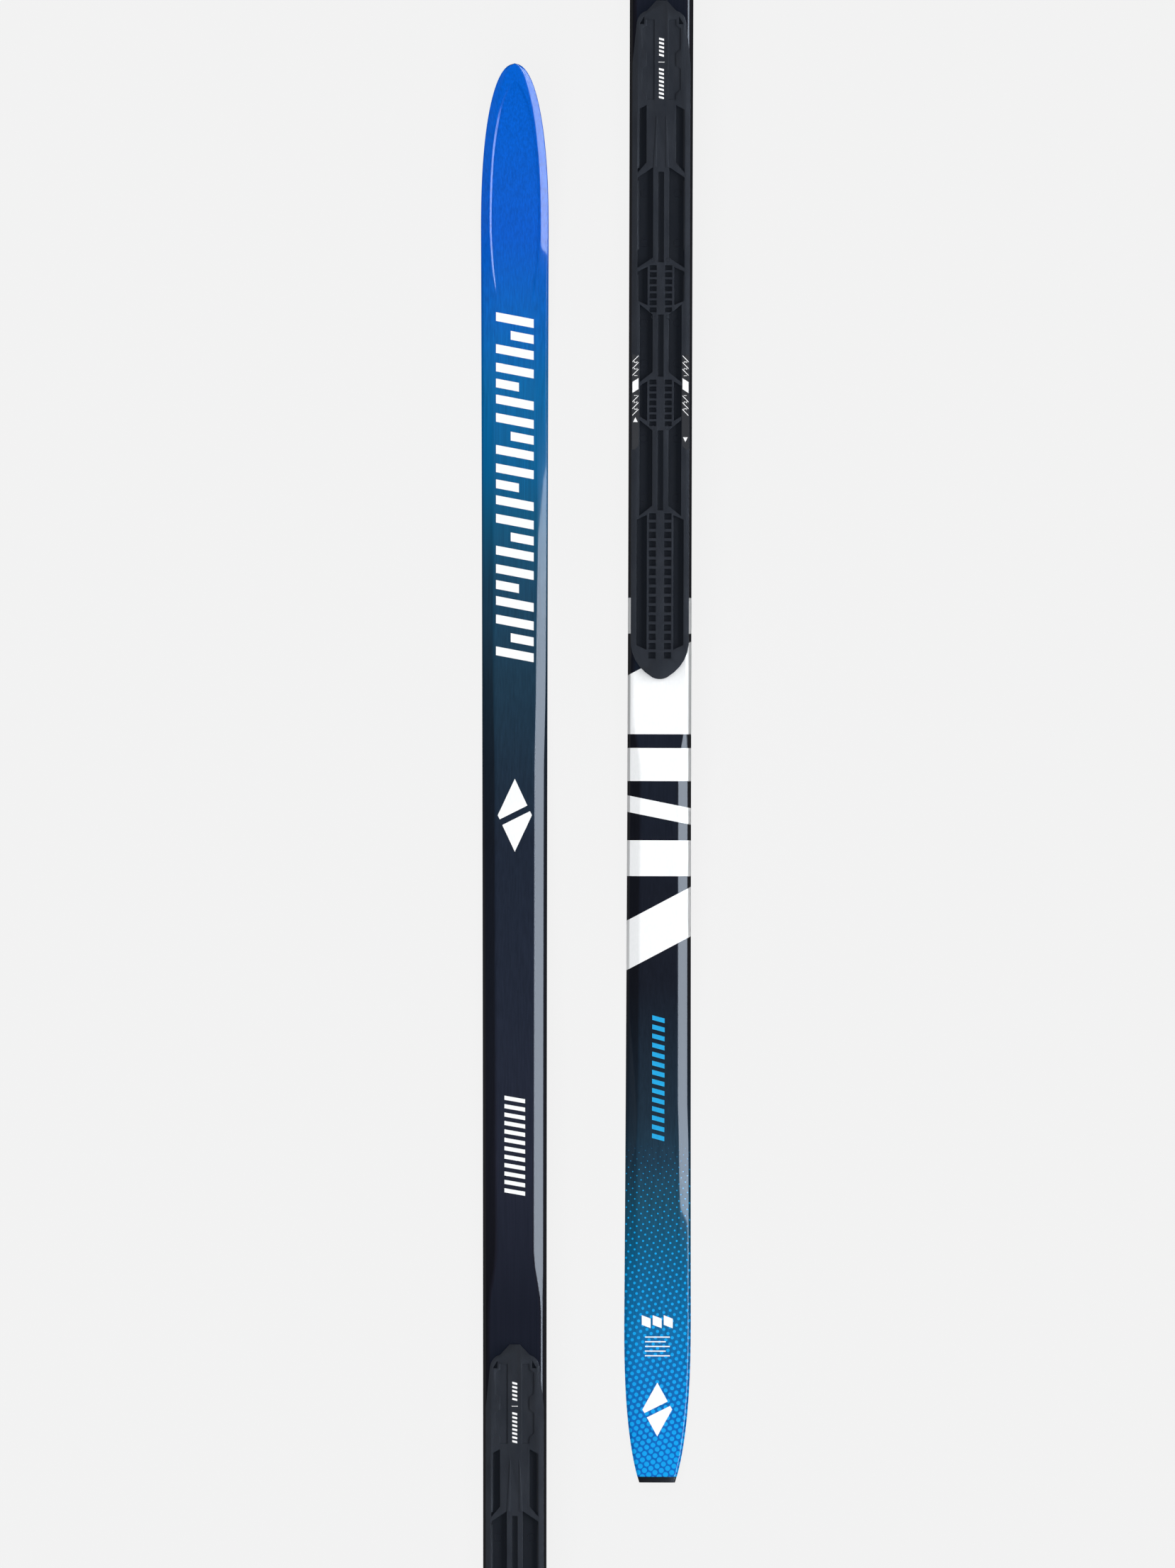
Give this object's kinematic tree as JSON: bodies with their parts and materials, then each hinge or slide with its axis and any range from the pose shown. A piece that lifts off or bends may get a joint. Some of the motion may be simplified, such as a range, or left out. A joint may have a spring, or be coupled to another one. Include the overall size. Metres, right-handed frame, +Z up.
{
  "type": "cross country ski",
  "caption": "Cambered classic cross-country ski with a moulded cap, grip skin underfoot and a binding mounting plate.",
  "frame": {"origin": "bottom centre of the whole ski's box, on the surface that it rests on", "axes": "+Y forward to the tip, +X to the right, +Z up from the running base to the topsheet"},
  "size_m": [0.0492, 2.005, 0.0706],
  "materials": {
    "gloss_topsheet": "clear glossy topsheet printed blue at tip and tail and near black in the middle",
    "moulded_black": "satin moulded black plastic with a fine texture",
    "spacer_plastic": "dark ABS spacer",
    "sintered_base": "black sintered polyethylene, stone ground along the ski",
    "edge_plastic": "milled black ABS",
    "skin_adhesive": "grey adhesive carrier",
    "mohair": "short dense mohair pile lying rearwards",
    "glass_laminate": "resin-bound glass fibre",
    "core_wood": "light laminated core wood",
    "stiff_sheet": "dark glass and rubber reinforcement sheet",
    "bond_film": "translucent adhesive film",
    "label_print": "black pad with a white printed scale"
  },
  "bodies": {
    "root": {"topsheet": "gloss_topsheet", "tail_protector": "moulded_black", "tip_spacer": "spacer_plastic", "running_base": "sintered_base", "left_edge_strip": "edge_plastic", "right_edge_strip": "edge_plastic", "skin_tape": "skin_adhesive", "skin_pile": "mohair", "lower_laminate": "glass_laminate", "upper_laminate": "glass_laminate", "core_left_outer_strip": "core_wood", "core_left_inner_strip": "core_wood", "core_centre_strip": "core_wood", "core_right_inner_strip": "core_wood", "core_right_outer_strip": "core_wood", "front_core_wedge": "spacer_plastic", "rear_core_wedge": "spacer_plastic", "binding_reinforcement": "stiff_sheet", "plate_bond_film": "bond_film", "binding_plate": "moulded_black", "left_scale_label": "label_print", "right_scale_label": "label_print"}
  },
  "joints": []
}
